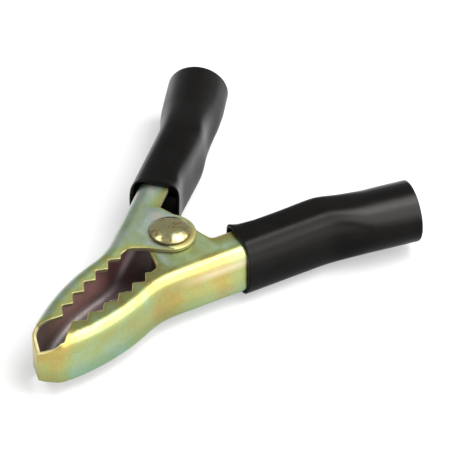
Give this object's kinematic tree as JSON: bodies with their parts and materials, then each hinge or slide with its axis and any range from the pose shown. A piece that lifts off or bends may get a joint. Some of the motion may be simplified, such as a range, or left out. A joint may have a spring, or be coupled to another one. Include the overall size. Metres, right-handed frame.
{
  "type": "alligator clip",
  "caption": "Spring-loaded alligator clip lying on its side: toothed sheet metal jaws on a rivet, with soft tube sleeves on the handles, for gripping a terminal or wire.",
  "frame": {"origin": "middle of the length and width, at the bottom of the rivet's tail, with the clip lying on its side", "axes": "-X towards the lips, +X towards the handles, +Y towards the moving half, +Z along the rivet towards its round head"},
  "size_m": [0.0856, 0.0679, 0.0164],
  "materials": {
    "plated_steel": "pressed sheet with a yellow, faintly rainbow zinc plating",
    "rivet_steel": "smooth, yellow zinc plating",
    "spring_steel": "drawn wire",
    "sleeve_plastic": "satin, soft"
  },
  "bodies": {
    "fixed_half": {"fixed_jaw": "plated_steel", "pivot_rivet": "rivet_steel", "torsion_spring": "spring_steel", "fixed_sleeve": "sleeve_plastic"},
    "moving_half": {"moving_jaw": "plated_steel", "moving_sleeve": "sleeve_plastic"}
  },
  "joints": [
    {"name": "jaw_pivot", "type": "hinge", "parent": "fixed_half", "child": "moving_half", "pos_m": [-0.00354, 0, 0.00784], "axis": [0, 0, -1], "range_deg": [0, 45], "stiffness_Nm_per_rad": 0.25, "springref_deg": -45.84, "deforming": ["torsion_spring"]}
  ]
}
